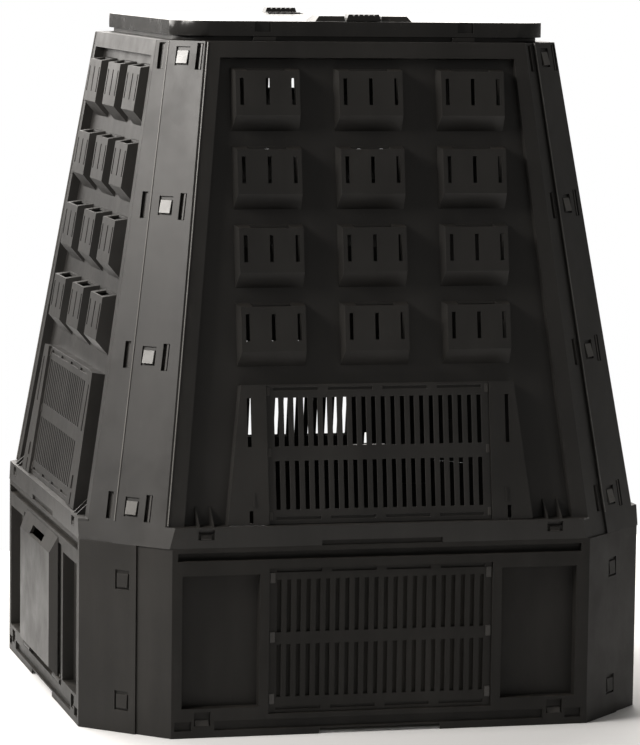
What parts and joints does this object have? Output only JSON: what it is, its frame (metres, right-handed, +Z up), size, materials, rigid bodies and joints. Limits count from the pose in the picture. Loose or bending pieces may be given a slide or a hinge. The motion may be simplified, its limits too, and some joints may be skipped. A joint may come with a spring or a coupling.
{
  "type": "compost bin with lid",
  "caption": "Square leaning-sided compost bin with chamfered corners, louvred panels, vent grilles, bottom emptying doors and a hinged square lid.",
  "frame": {"origin": "on the ground, in the middle of the bin's footprint", "axes": "+Z up; the front with the lower vent grille faces -Y; the emptying doors face -X and +X"},
  "size_m": [1.029, 1, 1.2165],
  "materials": {
    "upper_panel_plastic": "moulded black recycled plastic, satin, faint grain",
    "base_panel_plastic": "moulded black recycled plastic, satin, faint grain",
    "grille_plastic": "moulded black recycled plastic, satin, faint grain",
    "door_plastic": "moulded black recycled plastic, satin, faint grain",
    "pin_plastic": "moulded black recycled plastic, satin, faint grain",
    "frame_plastic": "moulded black recycled plastic, satin, faint grain",
    "lid_plastic": "moulded black recycled plastic, satin, faint grain",
    "latch_plastic": "moulded black recycled plastic, satin, faint grain"
  },
  "bodies": {
    "bin": {"upper_panel_front": "upper_panel_plastic", "upper_panel_right": "upper_panel_plastic", "upper_panel_rear": "upper_panel_plastic", "upper_panel_left": "upper_panel_plastic", "upper_grille_front": "grille_plastic", "upper_grille_right": "grille_plastic", "upper_grille_rear": "grille_plastic", "upper_grille_left": "grille_plastic", "base_panel_front": "base_panel_plastic", "base_panel_right": "base_panel_plastic", "base_panel_rear": "base_panel_plastic", "base_panel_left": "base_panel_plastic", "base_grille_front": "grille_plastic", "base_grille_rear": "grille_plastic", "door_pins_left": "pin_plastic", "door_pins_right": "pin_plastic", "top_frame": "frame_plastic", "lid_pins": "pin_plastic"},
    "door_left": {"base_door_left": "door_plastic"},
    "door_right": {"base_door_right": "door_plastic"},
    "lid": {"lid": "lid_plastic"},
    "latch_front": {"lid_latch_front": "latch_plastic"},
    "latch_rear": {"lid_latch_rear": "latch_plastic"}
  },
  "joints": [
    {"name": "lid_hinge", "type": "hinge", "parent": "bin", "child": "lid", "pos_m": [0, 0.33, 1.19], "axis": [-1, 0, 0], "range_deg": [0, 100]},
    {"name": "door_left_hinge", "type": "hinge", "parent": "bin", "child": "door_left", "pos_m": [-0.498, 0, 0.043], "axis": [0, -1, 0], "range_deg": [0, 90]},
    {"name": "door_right_hinge", "type": "hinge", "parent": "bin", "child": "door_right", "pos_m": [0.498, 0, 0.043], "axis": [0, 1, 0], "range_deg": [0, 90]},
    {"name": "latch_front_slide", "type": "slide", "parent": "lid", "child": "latch_front", "axis": [0, -1, 0], "range_m": [0, 0.008]},
    {"name": "latch_rear_slide", "type": "slide", "parent": "lid", "child": "latch_rear", "axis": [0, 1, 0], "range_m": [0, 0.008]}
  ]
}
